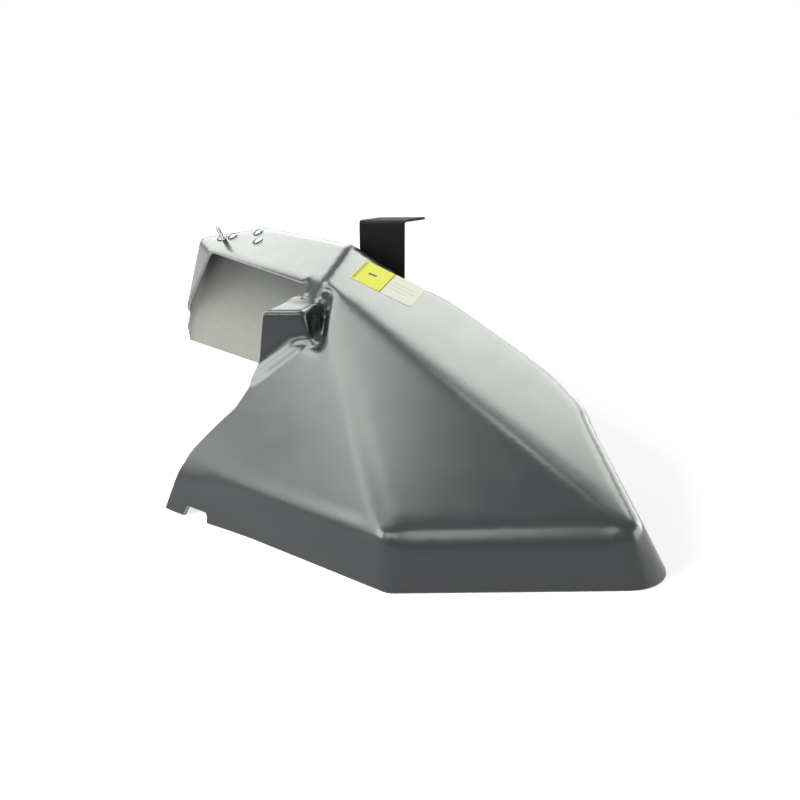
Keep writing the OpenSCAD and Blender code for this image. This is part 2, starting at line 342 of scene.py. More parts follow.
def surface(field, lines):
    """The zero surface of a field on a grid, as points and triangles that face outwards."""
    shape = tuple(n - 1 for n in field.shape)
    total = np.zeros((int(np.prod(shape)), 3))
    count = np.zeros(len(total))
    inside = field < 0
    edges = []
    for axis in range(3):
        low = [slice(None)] * 3
        high = [slice(None)] * 3
        low[axis], high[axis] = slice(0, -1), slice(1, None)
        cross = np.nonzero(inside[tuple(low)] != inside[tuple(high)])
        a = field[tuple(low)][cross]
        b = field[tuple(high)][cross]
        t = a / (a - b)
        point = np.stack([lines[k][cross[k]] for k in range(3)], axis=1).astype(float)
        step = lines[axis][cross[axis] + 1] - lines[axis][cross[axis]]
        point[:, axis] += t * step
        others = [k for k in range(3) if k != axis]
        around = []
        for da, db in ((0, 0), (1, 0), (1, 1), (0, 1)):
            index = list(cross)
            index[others[0]] = cross[others[0]] - da
            index[others[1]] = cross[others[1]] - db
            good = np.ones(len(t), bool)
            for k in others:
                good &= (index[k] >= 0) & (index[k] < shape[k])
            flat = np.full(len(t), -1)
            flat[good] = np.ravel_multi_index([i[good] for i in index], shape)
            np.add.at(total, flat[good], point[good])
            np.add.at(count, flat[good], 1)
            around.append(flat)
        quad = np.stack(around, axis=1)
        whole = (quad >= 0).all(axis=1)
        quad, flip = quad[whole], a[whole] > 0
        if axis == 1:
            flip = ~flip
        quad[flip] = quad[flip][:, ::-1]
        edges.append(quad)
    quads = np.concatenate(edges)
    used = np.unique(quads)
    points = total[used] / count[used][:, None]
    quads = np.searchsorted(used, quads)
    d1 = np.linalg.norm(points[quads[:, 0]] - points[quads[:, 2]], axis=1)
    d2 = np.linalg.norm(points[quads[:, 1]] - points[quads[:, 3]], axis=1)
    split = d1 <= d2
    first = np.where(split[:, None], quads[:, [0, 1, 2]], quads[:, [0, 1, 3]])
    second = np.where(split[:, None], quads[:, [0, 2, 3]], quads[:, [1, 2, 3]])
    return points, np.concatenate([first, second])


def normals_of(points, faces):
    """Vertex normals, weighted by the faces' areas."""
    a, b, c = (points[faces[:, k]] for k in range(3))
    n = np.cross(b - a, c - a)
    out = np.zeros_like(points)
    for k in range(3):
        np.add.at(out, faces[:, k], n)
    return out / np.maximum(np.linalg.norm(out, axis=1), 1e-12)[:, None]


def clip(points, normals, faces, keep):
    """Cuts a mesh along the line where keep, given at its points, is zero, and drops what is below."""
    keep = np.where(np.abs(keep) < 1e-4, 1e-4, keep)
    good = keep > 0
    number = good[faces].sum(axis=1)
    parts = [faces[number == 3]]
    made, made_n, known = [], [], {}

    def crossing(i, j):
        key = (i, j) if i < j else (j, i)
        if key not in known:
            t = keep[key[0]] / (keep[key[0]] - keep[key[1]])
            known[key] = len(points) + len(made)
            made.append(points[key[0]] * (1 - t) + points[key[1]] * t)
            made_n.append(unit(normals[key[0]] * (1 - t) + normals[key[1]] * t))
        return known[key]

    new = []
    for f in faces[(number == 1) | (number == 2)]:
        one = number_of_good = int(good[f].sum())
        k = next(k for k in range(3) if good[f[k]] == (one == 1))
        a, b, c = f[k], f[(k + 1) % 3], f[(k + 2) % 3]
        ab, ac = crossing(a, b), crossing(a, c)
        new += [(a, ab, ac)] if number_of_good == 1 else [(ab, b, c), (ab, c, ac)]
    if new:
        parts.append(np.array(new))
        points, normals = np.vstack([points, made]), np.vstack([normals, made_n])
    faces = np.concatenate(parts)
    used, faces = np.unique(faces, return_inverse=True)
    return points[used], normals[used], faces.reshape(-1, 3)


def rounded(corners, radius):
    """A closed outline whose corners are rounded, as points."""
    out = []
    for k, v in enumerate(corners):
        a, b = corners[k - 1] - v, corners[(k + 1) % len(corners)] - v
        la, lb = np.linalg.norm(a), np.linalg.norm(b)
        turn = math.pi - math.acos(np.clip(a @ b / (la * lb), -1, 1))
        cut = min(radius * math.tan(turn / 2), 0.48 * la, 0.48 * lb)
        start, end = v + a / la * cut, v + b / lb * cut
        out += [(1 - t) ** 2 * start + 2 * t * (1 - t) * v + t * t * end for t in np.linspace(0, 1, 9)]
    return np.array(out)


def outside(u, v, outline):
    """Signed distance of the points u, v outside a closed outline."""
    near = np.full(len(u), 1e18)
    inner = np.zeros(len(u), bool)
    for p, q in zip(outline, np.roll(outline, -1, axis=0)):
        d = q - p
        t = np.clip(((u - p[0]) * d[0] + (v - p[1]) * d[1]) / max(d @ d, 1e-12), 0, 1)
        near = np.minimum(near, (u - p[0] - t * d[0]) ** 2 + (v - p[1] - t * d[1]) ** 2)
        if p[1] != q[1]:
            at_v = p[0] + (v - p[1]) * d[0] / d[1]
            inner ^= ((p[1] > v) != (q[1] > v)) & (u < at_v)
    return np.where(inner, -1, 1) * np.sqrt(near)


def mouth_cut(form, p):
    at = form.at
    corners = [at(-0.70, 0.235), at(-0.381, 0.254), at(-0.284, 0.269), at(-0.256, 0.284),
               at(-0.238, 0.297), np.array([form.shelf_x - form.mm.shelf_width, form.shelf_y + 4, 0]),
               at(-0.195, 0.337), at(-0.175, 0.366), form.lip_right, at(-0.153, 0.395),
               at(-0.70, 0.395)]
    return outside(p[:, 0], p[:, 1], rounded([c[:2] for c in corners], form.mm.trim))


def window_cut(form, p):
    """The strip of wall under the lip and the end wall's tapered edge."""
    def side(v):
        return unit(np.array([-v[1], v[0]]))

    way = form.end_tip - form.lip_right
    length = np.linalg.norm(way)
    way = way / length
    start = form.lip_right[:2]
    along = (p[:, :2] - start) @ way[:2]
    lip_x = float((form.lip_left[:2] - [form.fold, 0] - start) @ way[:2])
    lip_z = form.lip_left[2] + form.fold - form.mm.lip
    apex_z = over(form.apex + form.fold * form.n_left, form.n_left, form.lip_right)[2] - form.mm.lip
    view = [[-4, -40], [-4, apex_z], [lip_x, lip_z], [length - 20, form.mm.skirt],
            [length + 60, form.mm.skirt], [length + 60, -40]]
    lip_out = side(form.lip_left - form.apex)
    end_out = side(form.end_foot - form.lip_left)
    depth = form.mm.sheet + 0.4
    bend = form.lip_left[:2] + form.fold * (lip_out + end_out) / 2
    far = form.end_foot[:2] + form.fold * end_out + 0.2 * (form.end_foot - form.lip_left)[:2]
    plan = [start - depth * lip_out, bend - depth * lip_out, bend - form.fold * end_out,
            far - form.fold * end_out,
            far + 60 * end_out, bend + 60 * end_out, start + 60 * lip_out]
    in_view = outside(along, p[:, 2], rounded([np.array(c, float) for c in view], 5.0))
    return np.maximum(in_view, outside(p[:, 0], p[:, 1], np.array(plan)))


def tip_cut(form, p):
    """The slanted end of the end wall's tapered edge."""
    top_x, foot_x = form.at(-0.499, 0)[0], form.at(-0.490, 0)[0]
    corners = [[top_x, form.mm.skirt], [foot_x, 0], [foot_x, -20], [top_x - 40, -20], [top_x - 40, form.mm.skirt]]
    cut = outside(p[:, 0], p[:, 2], np.array(corners, float))
    return np.where(p[:, 1] > 0.75 * form.l, cut, 50)


def notch_cut(form, p):
    az = math.atan2(form.left_foot[1] - form.crease_foot[1], form.left_foot[0] - form.crease_foot[0])
    way, out = np.array([math.cos(az), math.sin(az)]), np.array([-math.sin(az), math.cos(az)])
    q = p[:, :2] - form.at(0, 0)[:2]
    half = form.mm.notch_length / 2
    along = q @ way - (0.435 * form.w + half)
    shape = [[-half, -20], [half, -20], [half, -1], [half - 4, form.mm.notch_height], [1 - half, form.mm.notch_height], [-half, -1]]
    cut = outside(along, p[:, 2], rounded([np.array(c, float) for c in shape], 2.0))
    return np.maximum(cut, np.abs(q @ out) - 40)


def hole_cut(form, p):
    d = np.hypot(p[:, 0] - (form.shelf_x - 2), p[:, 1] - (form.shelf_y + 34)) - form.mm.shelf_hole / 2
    return np.where(p[:, 2] > form.shelf_z - 12, d, 50)


def sheet_from(points, normals, faces, thickness, edge):
    """Gives a skin its thickness inwards, with rounded edges where it is trimmed."""
    sides = np.concatenate([faces[:, [0, 1]], faces[:, [1, 2]], faces[:, [2, 0]]])
    code = sides[:, 0] * len(points) + sides[:, 1]
    back = sides[:, 1] * len(points) + sides[:, 0]
    rim = sides[~np.isin(code, back)]
    out = np.zeros_like(points)
    way = points[rim[:, 1]] - points[rim[:, 0]]
    way /= np.maximum(np.linalg.norm(way, axis=1), 1e-9)[:, None]
    for k in range(2):
        np.add.at(out, rim[:, k], np.cross(way, normals[rim[:, k]]))
    ring = np.unique(rim)
    out[ring] /= np.maximum(np.linalg.norm(out[ring], axis=1), 1e-9)[:, None]
    n, t, r = len(points), thickness, edge
    inner = points - t * normals
    inner[:, 2] = np.maximum(inner[:, 2], 0)
    profile = [(r - r * math.cos(a), r * math.sin(a)) for a in (0.52, 1.05, 1.57)]
    profile += [(t - d, b) for d, b in reversed(profile)]
    slot_of = np.full(n, -1)
    slot_of[ring] = np.arange(len(ring))
    layers = [points[ring] - d * normals[ring] + b * out[ring] for d, b in profile]
    turns = []
    for d, b in profile:
        tilt = (d - r if d < r else d - (t - r)) / r
        level = math.sqrt(max(0.0, 1 - tilt * tilt))
        turns.append(-tilt * normals[ring] + level * out[ring])
    verts = np.vstack([points, inner, *layers])
    inside = np.repeat([0.0, 1.0, 0.0], [n, n, len(layers) * len(ring)])
    trimmed = np.repeat([0.0, 1.0], [2 * n, len(layers) * len(ring)])
    shade = np.vstack([normals, -normals, *turns])
    rows = [lambda i: i] + [lambda i, k=k: 2 * n + k * len(ring) + slot_of[i] for k in range(len(profile))]
    rows.append(lambda i: i + n)
    strips = []
    for lower, upper in zip(rows, rows[1:]):
        a, b, c, d = lower(rim[:, 0]), lower(rim[:, 1]), upper(rim[:, 1]), upper(rim[:, 0])
        strips += [np.stack([b, a, d], axis=1), np.stack([b, d, c], axis=1)]
    return verts, shade, np.concatenate([faces, faces[:, ::-1] + n, *strips]), {"Inside": inside, "Trimmed": trimmed}


def evened(normals, faces, rounds):
    """Normals that are averaged with their neighbours', so that folds shade softly."""
    ends = np.concatenate([faces[:, [0, 1]], faces[:, [1, 2]], faces[:, [2, 0]]])
    for _ in range(rounds):
        near = [np.bincount(ends[:, 0], normals[ends[:, 1], k], len(normals)) for k in range(3)]
        normals = normals + np.stack(near, axis=1)
        normals /= np.maximum(np.linalg.norm(normals, axis=1), 1e-9)[:, None]
    return normals


def hood_mesh(mm):
    """The hood's closed mesh: a smooth skin, trimmed and thickened."""
    form = Form(mm)
    fine, coarse = ((1.8, 3.8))
    sx, sy, sz = form.shelf_x, form.shelf_y, form.shelf_z
    lines = [graded(-252, 230, sx - 46, sx + 40, fine, coarse),
             graded(-16, form.l + 12, sy - 16, sy + 62, fine, coarse),
             graded(-6, form.h + 6, sz - 52, sz + 16, fine, coarse)]
    x, y, z = (a.astype(np.float32) for a in np.ix_(*lines))
    field = hood_field(form, x, y, z)
    points, faces = surface(field, lines)
    for change in (soft_folds, bowed_edge, flared_end):
        points = change(form, points)
    normals = evened(normals_of(points, faces), faces, 3)
    for cut in (lambda f, p: p[:, 2] - mm.edge, mouth_cut, window_cut, tip_cut, notch_cut, hole_cut):
        points, normals, faces = clip(points, normals, faces, cut(form, points))
    verts, shade, faces, marks = sheet_from(points, normals, faces, mm.sheet, mm.edge)
    verts[:, 2] = np.maximum(verts[:, 2], 0)
    return verts, shade, faces, marks


# Fasteners, in millimetres, each on its own axis with its seat at zero.


def tube(rows, loop=False):
    """Faces round rows of points; the first and last rows are closed with a pole unless it loops."""
    count = len(rows[0])
    verts = [p for row in rows for p in row]
    pairs = list(zip(range(len(rows)), range(1, len(rows)))) + ([(len(rows) - 1, 0)] if loop else [])
    faces = [(a * count + i, a * count + (i + 1) % count, b * count + (i + 1) % count, b * count + i)
             for a, b in pairs for i in range(count)]
    if not loop:
        for base, turn in ((0, -1), ((len(rows) - 1) * count, 1)):
            ring = [base + i for i in range(count)][::turn]
            verts.append(np.mean([verts[i] for i in ring], axis=0))
            faces += [(ring[i], ring[(i + 1) % count], len(verts) - 1) for i in range(count)]
    return np.array(verts), faces


def joined(*parts):
    """Several sets of points and faces as one."""
    verts, faces, start = [], [], 0
    for v, f in parts:
        verts.append(v)
        faces += [tuple(i + start for i in face) for face in f]
        start += len(v)
    return np.vstack(verts), faces


def turned(radii, height, count, radius_at=None):
    """A row of points round the axis."""
    a = np.linspace(0, 2 * math.pi, count, endpoint=False)
    r = radii * np.ones(count) if radius_at is None else radius_at(a)
    h = height(a) if callable(height) else height * np.ones(count)
    return np.stack([r * np.cos(a), r * np.sin(a), h], axis=1)


def thread(diameter, low, high, pitch=0.9, count=20):
    """A threaded shank between two heights, with chamfered ends."""
    rows = []
    a = np.linspace(0, 2 * math.pi, count, endpoint=False)
    for h in np.arange(low, high + 1e-6, pitch / 5):
        wave = np.abs(((h / pitch - a / (2 * math.pi)) % 1) * 2 - 1)
        r = diameter / 2 - 0.42 * pitch * wave
        r = np.minimum(r, diameter / 2 - 0.8 + min(h - low, high - h))
        rows.append(np.stack([r * np.cos(a), r * np.sin(a), np.full(count, h)], axis=1))
    return tube(rows)


def cross_head(diameter, height, count=72):
    """A domed screw head with a cross recess."""
    r0, rim = diameter / 2, 0.5
    dome = height - rim
    ball = (r0 * r0 + dome * dome) / (2 * dome)
    arm, half, deep = 0.24 * diameter, 0.05 * diameter, 0.55 * height
    rows = [turned(0.6 * r0, 0.0, count), turned(r0 - 0.2, 0.0, count), turned(r0, 0.2, count)]
    a = np.linspace(0, 2 * math.pi, count, endpoint=False)
    for r in r0 * np.linspace(1, 0.02, 30):
        x, y = np.abs(r * np.cos(a)), np.abs(r * np.sin(a))
        m = np.minimum(np.maximum(x / arm, y / half), np.maximum(y / arm, x / half))
        cut = deep * np.clip((1.25 - m) / 0.5, 0, 1) * min(1, 1.5 - r / arm if r < 1.5 * arm else 0)
        z = rim + math.sqrt(max(ball * ball - r * r, 0)) - (ball - dome) - cut
        rows.append(np.stack([r * np.cos(a), r * np.sin(a), z], axis=1))
    return tube(rows)


def hexagon(across_flats, low, high, bore=0.0, count=72):
    """A hexagon with chamfered corners, as a nut where it has a bore."""
    flat = across_flats / 2

    def reach(a):
        return flat / np.cos(a % (math.pi / 3) - math.pi / 6)

    def drop(a):
        return np.maximum(reach(a) - 0.97 * flat, 0) * 0.55

    core = [turned(0.97 * flat, high, count), turned(0, lambda a: high - drop(a), count, reach),
            turned(0, lambda a: low + drop(a), count, reach), turned(0.97 * flat, low, count)]
    if bore:
        core = [turned(bore / 2, high - 0.4, count), turned(bore / 2 + 0.4, high, count), *core,
                turned(bore / 2 + 0.4, low, count), turned(bore / 2, low + 0.4, count)]
        return tube(core, loop=True)
    return tube([turned(0.3 * flat, high, count), *core, turned(0.3 * flat, low, count)])


def disc(radius, low, high, count=48):
    """A flat round washer or collar with softened edges."""
    e = 0.2
    return tube([turned(0.4 * radius, high, count), turned(radius - e, high, count), turned(radius, high - e, count),
                 turned(radius, low + e, count), turned(radius - e, low, count), turned(0.4 * radius, low, count)])


def scatter(name, places, turn, shape, material):
    """Sets a shape, in millimetres, on places in metres, turned alike, as one plain mesh."""
    model = mesh_object(name + "_shape", shape[0] * MM, shape[1])
    holder = mesh_object(name + "_places", places, [])
    tree = bpy.data.node_groups.new(name, "GeometryNodeTree")
    face = tree.interface
    face.new_socket("Places", in_out="INPUT", socket_type="NodeSocketGeometry")
    sockets = {label: face.new_socket(label, in_out="INPUT", socket_type=kind).identifier for label, kind in (
        ("Shape", "NodeSocketObject"), ("Turn", "NodeSocketVector"), ("Finish", "NodeSocketMaterial"))}
    face.new_socket("Fasteners", in_out="OUTPUT", socket_type="NodeSocketGeometry")
    given = node(tree, "NodeGroupInput")
    source = node(tree, "GeometryNodeObjectInfo", {"Object": given.outputs["Shape"]})
    copies = node(tree, "GeometryNodeInstanceOnPoints", {
        "Points": given.outputs["Places"], "Instance": source.outputs["Geometry"], "Rotation": given.outputs["Turn"]})
    real = node(tree, "GeometryNodeRealizeInstances", {"Geometry": copies.outputs["Instances"]})
    coated = node(tree, "GeometryNodeSetMaterial", {
        "Geometry": real.outputs["Geometry"], "Material": given.outputs["Finish"]})
    node(tree, "NodeGroupOutput", {"Fasteners": coated.outputs["Geometry"]})
    modifier = holder.modifiers.new("Scatter", "NODES")
    modifier.node_group = tree
    modifier[sockets["Shape"]] = model
    modifier[sockets["Turn"]] = turn.to_euler()[:]
    modifier[sockets["Finish"]] = material
    view = bpy.context.evaluated_depsgraph_get()
    mesh = bpy.data.meshes.new_from_object(holder.evaluated_get(view))
    mesh.set_sharp_from_angle(angle=math.radians(38))
    holder.modifiers.clear()
    for scrap in (holder, model):
        bpy.data.objects.remove(scrap)
    made = bpy.data.objects.new(name, mesh)
    mesh.name = name
    bpy.context.scene.collection.objects.link(made)
    return made


# Materials


def soft_noise(tree, coords, size_mm, detail=2.0):
    """Noise whose features are about this large, in millimetres."""
    return node(tree, "ShaderNodeTexNoise", {"Vector": coords, "Scale": 1 / (size_mm * MM), "Detail": detail}).outputs["Fac"]


def ranged(tree, value, low, high):
    """Maps noise round its middle to a range."""
    return node(tree, "ShaderNodeMapRange", {
        "Value": value, "From Min": 0.25, "From Max": 0.75, "To Min": low, "To Max": high},
        interpolation_type="SMOOTHERSTEP").outputs["Result"]


def tinted(tree, fac, first, second):
    """A blend of two colours."""
    made = node(tree, "ShaderNodeMix", data_type="RGBA")
    tree.links.new(fac, made.inputs["Factor"])
    made.inputs["A"].default_value = first
    made.inputs["B"].default_value = second
    return made.outputs["Result"]


def mixed(tree, fac, first, second):
    """A colour that goes from a linked one to a plain one."""
    made = node(tree, "ShaderNodeMix", data_type="RGBA")
    tree.links.new(fac, made.inputs["Factor"])
    tree.links.new(first, made.inputs["A"])
    made.inputs["B"].default_value = second
    return made.outputs["Result"]


def bumped(tree, height, mm, strength=1.0):
    """A normal from a height that swings by this many millimetres."""
    return node(tree, "ShaderNodeBump", {"Height": height, "Strength": strength, "Distance": mm * MM}).outputs["Normal"]


def finish_material(tree, **values):
    """The surface shader, with its sockets' values or links, and the output."""
    names = {"base": "Base Color", "metallic": "Metallic", "roughness": "Roughness", "ior": "IOR",
             "normal": "Normal", "specular": "Specular IOR Level"}
    shader = node(tree, "ShaderNodeBsdfPrincipled", {names[k]: v for k, v in values.items()})
    node(tree, "ShaderNodeOutputMaterial", {"Surface": shader.outputs["BSDF"]})


def moulded_abs(colours):
    """Thermoformed ABS sheet: dark grey, drawn over a smooth mould, so that it has a satin gloss and a faint ripple.
    Its inside is painted paler towards the bottom, as painted light on the lower inside wall under the roof's shade,
    and the trimmed edges are painted pale as a painted highlight."""
    made, tree = new_material("thermoformed_abs")
    coords = node(tree, "ShaderNodeTexCoord").outputs["Object"]
    cloud = ranged(tree, soft_noise(tree, coords, 60), 0, 1)
    skin = tinted(tree, cloud, colours.sheet_dark, colours.sheet_light)
    height = node(tree, "ShaderNodeSeparateXYZ", {"Vector": coords}).outputs["Z"]
    low = node(tree, "ShaderNodeMapRange", {
        "Value": height, "From Min": 0.165, "From Max": 0.02, "To Min": 0.05, "To Max": 1.0},
        interpolation_type="SMOOTHSTEP").outputs["Result"]
    inside = node(tree, "ShaderNodeAttribute", attribute_name="Inside").outputs["Fac"]
    trimmed = node(tree, "ShaderNodeAttribute", attribute_name="Trimmed").outputs["Fac"]
    # A noise about 6 mm across varies the painted light a little.
    light_speckle = ranged(tree, soft_noise(tree, coords, 6, 1.0), 0.93, 1.0)
    # The inside is painted paler towards the bottom: painted light on the lower inside wall, with the painted shade of
    # the roof above.
    painted_lighter = node(tree, "ShaderNodeMath", {0: low, 1: inside}, operation="MULTIPLY").outputs[0]
    painted_lighter = node(tree, "ShaderNodeMath", {0: painted_lighter, 1: light_speckle}, operation="MULTIPLY").outputs[0]
    lightened = mixed(tree, painted_lighter, skin, colours.sheet_painted_light)
    # The trimmed edges are painted pale: a painted highlight where the cut edges catch the light.
    base = mixed(tree, trimmed, lightened, colours.sheet_cut_highlight)
    # The sheet's skin has a grain of about 0.5 mm, drawn at 1.2 mm so that it shows.
    grain = soft_noise(tree, coords, 1.2, 1.0)
    # Drawing leaves a slow ripple of about 45 mm.
    ripple = soft_noise(tree, coords, 45, 1.0)
    fine = bumped(tree, grain, 0.012)
    slow = node(tree, "ShaderNodeBump", {"Height": ripple, "Strength": 1.0, "Distance": 0.06 * MM, "Normal": fine})
    dull = node(tree, "ShaderNodeMath", {0: inside, 1: trimmed}, operation="MAXIMUM").outputs[0]
    rough = node(tree, "ShaderNodeMath", {0: dull, 1: 0.2, 2: ranged(tree, soft_noise(tree, coords, 25), 0.23, 0.26)},
                 operation="MULTIPLY_ADD").outputs[0]
    finish_material(tree, base=base, roughness=rough, ior=1.54, normal=slow.outputs["Normal"])
    return made


def black_coat(colours):
    """Powder-coated steel: near black, with the fine orange peel of the baked powder."""
    made, tree = new_material("powder_coated_steel")
    coords = node(tree, "ShaderNodeTexCoord").outputs["Object"]
    base = tinted(tree, ranged(tree, soft_noise(tree, coords, 12), 0, 1), colours.coat_dark, colours.coat_light)
    peel = bumped(tree, soft_noise(tree, coords, 1.0, 1.0), 0.03)
    rough = ranged(tree, soft_noise(tree, coords, 8), 0.46, 0.54)
    finish_material(tree, base=base, roughness=rough, ior=1.5, specular=0.16, normal=peel)
    return made


def zinc_plate(colours):
    """Bright zinc-plated steel: pale metal with soft blotches from the bath."""
    made, tree = new_material("zinc_plated_steel")
    coords = node(tree, "ShaderNodeTexCoord").outputs["Object"]
    blotch = ranged(tree, soft_noise(tree, coords, 4), 0, 1)
    base = tinted(tree, blotch, colours.zinc_dark, colours.zinc_light)
    scuff = bumped(tree, soft_noise(tree, coords, 0.8), 0.01)
    finish_material(tree, base=base, metallic=1.0, roughness=ranged(tree, blotch, 0.22, 0.36), normal=scuff)
    return made


def within(tree, value, low, high):
    """1 where a value lies between two others, else 0."""
    above = node(tree, "ShaderNodeMath", {0: value, 1: low}, operation="GREATER_THAN").outputs[0]
    under = node(tree, "ShaderNodeMath", {0: value, 1: high}, operation="LESS_THAN").outputs[0]
    return node(tree, "ShaderNodeMath", {0: above, 1: under}, operation="MULTIPLY").outputs[0]


def printed_film(name, field, ink, bars):
    """Satin vinyl film with a plain field of colour and printed bars, given as shares of its length and width."""
    made, tree = new_material(name)
    uv = node(tree, "ShaderNodeUVMap", uv_map="Film").outputs["UV"]
    apart = node(tree, "ShaderNodeSeparateXYZ", {"Vector": uv})
    u, v = apart.outputs["X"], apart.outputs["Y"]
    base = None
    for u0, u1, v0, v1, slope, strength in bars:
        lean = node(tree, "ShaderNodeMath", {0: u, 1: slope}, operation="MULTIPLY").outputs[0]
        leaned = node(tree, "ShaderNodeMath", {0: v, 1: lean}, operation="SUBTRACT").outputs[0]
        mask = node(tree, "ShaderNodeMath", {0: within(tree, u, u0, u1), 1: within(tree, leaned, v0, v1)},
                    operation="MULTIPLY").outputs[0]
        fac = node(tree, "ShaderNodeMath", {0: mask, 1: strength}, operation="MULTIPLY").outputs[0]
        layer = node(tree, "ShaderNodeMix", data_type="RGBA")
        tree.links.new(fac, layer.inputs["Factor"])
        if base is None:
            layer.inputs["A"].default_value = field
        else:
            tree.links.new(base, layer.inputs["A"])
        layer.inputs["B"].default_value = ink
        base = layer.outputs["Result"]
    coords = node(tree, "ShaderNodeTexCoord").outputs["Object"]
    wave = bumped(tree, soft_noise(tree, coords, 9), 0.03)
    finish_material(tree, base=base, roughness=0.4, ior=1.49, specular=0.12, normal=wave)
    return made


def yellow_film(colours):
    """Yellow vinyl film: satin, with plain printed lines and one slim shape."""
    return printed_film("vinyl_film_yellow", colours.film_yellow, colours.film_ink, (
        (0.05, 0.075, 0.05, 0.95, 0.0, 1.0), (0.10, 0.115, 0.05, 0.95, 0.0, 1.0),
        (0.97, 1.0, 0.0, 1.0, 0.0, 1.0), (0.34, 0.60, 0.44, 0.52, 0.1, 1.0)))


def pale_film(colours):
    """Pale vinyl film: satin, with a few faint plain lines."""
    return printed_film("vinyl_film_pale", colours.film_pale, colours.film_ink, (
        (0.12, 0.80, 0.62, 0.66, 0.0, 0.22), (0.12, 0.88, 0.47, 0.51, 0.0, 0.22), (0.12, 0.70, 0.32, 0.36, 0.0, 0.22)))


# Pieces


def in_mm(group):
    """A group's lengths, in millimetres."""
    return SimpleNamespace(**{name: getattr(group, name) / MM for name in group.__annotations__})


def thin_plate(outline, low, high, edge):
    """A plate with softened edges over an outline."""
    middle = outline.mean(axis=0)
    inner = outline - np.array([unit(p - middle) for p in outline]) * edge
    core = middle + 0.5 * (outline - middle)
    levels = ((core, high), (inner, high), (outline, high - edge), (outline, low + edge), (inner, low), (core, low))
    return tube([np.column_stack([points, np.full(len(points), z)]) for points, z in levels])


def box_outline(length, width):
    """The corners of a rectangle round the origin."""
    return [np.array([a * length / 2, b * width / 2]) for a, b in ((-1, -1), (1, -1), (1, 1), (-1, 1))]


def finish_edges(made, width_mm, angle=38):
    """Smooth faces with sharp folds, and edges softened by a narrow bevel."""
    made.data.shade_smooth()
    made.data.set_sharp_from_angle(angle=math.radians(angle))
    bevel = made.modifiers.new("Softened edges", "BEVEL")
    bevel.width, bevel.segments = width_mm * MM, 2
    bevel.limit_method, bevel.angle_limit = "ANGLE", math.radians(40)


def upright_rows(form, mm):
    """The left and right outline of the hanger's bent sheet: an upright whose top is bent level."""
    t, top = mm.steel, form.h + mm.top
    back = mm.flange * math.sin(FLANGE_TURN)
    lean = mm.flange * math.cos(FLANGE_TURN) / (back - t)
    inner, outer = BEND_R, BEND_R + t
    turns = np.linspace(0, math.pi / 2, 7)
    profile = [(0.0, None), (0.0, top - outer)]
    profile += [(outer - outer * math.cos(a), top - outer + outer * math.sin(a)) for a in turns[1:]]
    profile += [(back, top), (back, top - t)]
    profile += [(outer - inner * math.cos(a), top - outer + inner * math.sin(a)) for a in turns[::-1]]
    profile += [(t, None)]
    x, y = form.at(0, 0.478)[:2]
    rows = []
    for side in (-1, 1):
        row = []
        for q, z in profile:
            p = [x + side * mm.width / 2 + max(0.0, q - t) * lean, y + q]
            foot = over(form.foot_mid + 1.5 * form.n_far, form.n_far, p)[2] if z is None else z
            row.append([*p, foot])
        rows.append(np.array(row))
    return rows


def hanger_piece(form, mm, finish):
    """The steel hanger: a foot on the far wall and an upright with a level flange, as one piece."""
    black = black_coat(finish)
    left, right = upright_rows(form, mm)
    count = len(left)
    faces = [(i, (i + 1) % count, count + (i + 1) % count, count + i) for i in range(count)]
    faces += [tuple(range(count))[::-1], tuple(range(count, 2 * count))]
    made = mesh_object("hanger", np.vstack([left, right]) * MM, faces, black)
    verts, faces = thin_plate(rounded(box_outline(mm.foot_length, mm.foot_width), 6.0), 0.1, 0.1 + mm.steel, 0.3)
    foot = mesh_object("hanger_foot", verts * MM, faces, black)
    foot.data.transform(seat(form.foot_mid * MM, form.n_far, form.wall_turn))
    shape = bmesh.new()
    shape.from_mesh(made.data)
    shape.from_mesh(foot.data)
    bmesh.ops.recalc_face_normals(shape, faces=shape.faces)
    shape.to_mesh(made.data)
    shape.free()
    bpy.data.objects.remove(foot)
    finish_edges(made, 0.4)
    return place(made, "black_steel", "hanger_bracket")


def film_piece(side, form, mm, finish):
    """One half of the sticker: a thin film whose coordinates run along and across it."""
    half = mm.length / 2
    outline = [p for p in rounded(box_outline(mm.length, mm.width), 2.0) if p[0] * side > 0]
    ends = [np.array([0.0, -side * mm.width / 2]), np.array([0.0, side * mm.width / 2])]
    if side > 0:
        outline = [ends[0], *outline, ends[1]]
    else:
        turn = next(k for k, p in enumerate(outline) if p[1] > 0)
        outline = [ends[0], *outline[turn:], *outline[:turn], ends[1]]
    verts, faces = thin_plate(np.array(outline), 0.05, 0.35, 0.05)
    name, slot, material = (("sticker_left", "sticker_yellow", yellow_film(finish)) if side < 0
                            else ("sticker_right", "sticker_white", pale_film(finish)))
    made = mesh_object(name, verts * MM, faces, material)
    mesh = made.data
    layer = mesh.uv_layers.new(name="Film")
    for loop in mesh.loops:
        p = mesh.vertices[loop.vertex_index].co / MM
        layer.data[loop.index].uv = (p.x / half + (1 if side < 0 else 0), p.y / mm.width + 0.5)
    mesh.transform(seat(form.sticker_mid * MM, form.n_right, STICKER_TURN))
    mesh.set_sharp_from_angle(angle=math.radians(38))
    return place(made, slot, slot)


def on(matrix, points, lift=0.0):
    """Points of a face's frame, given in millimetres, as places in metres."""
    return [matrix @ (Vector((p[0], p[1], lift)) * MM) for p in points]


# Stage


def softbox(name, place, facing, width, height, radiance, matt=False):
    """A rectangular soft lamp, which shows in reflections, and where it is asked to on matt surfaces too."""
    light = bpy.data.lights.new(name, "AREA")
    light.shape = "RECTANGLE"
    light.size, light.size_y = width, height
    light.energy = radiance * math.pi * width * height
    light.color = linear("#F5FAF3")[:3]
    made = bpy.data.objects.new(name, light)
    made.location = place
    made.rotation_euler = Vector(facing).to_track_quat("-Z", "Y").to_euler()
    made.visible_diffuse = matt
    bpy.context.scene.collection.objects.link(made)


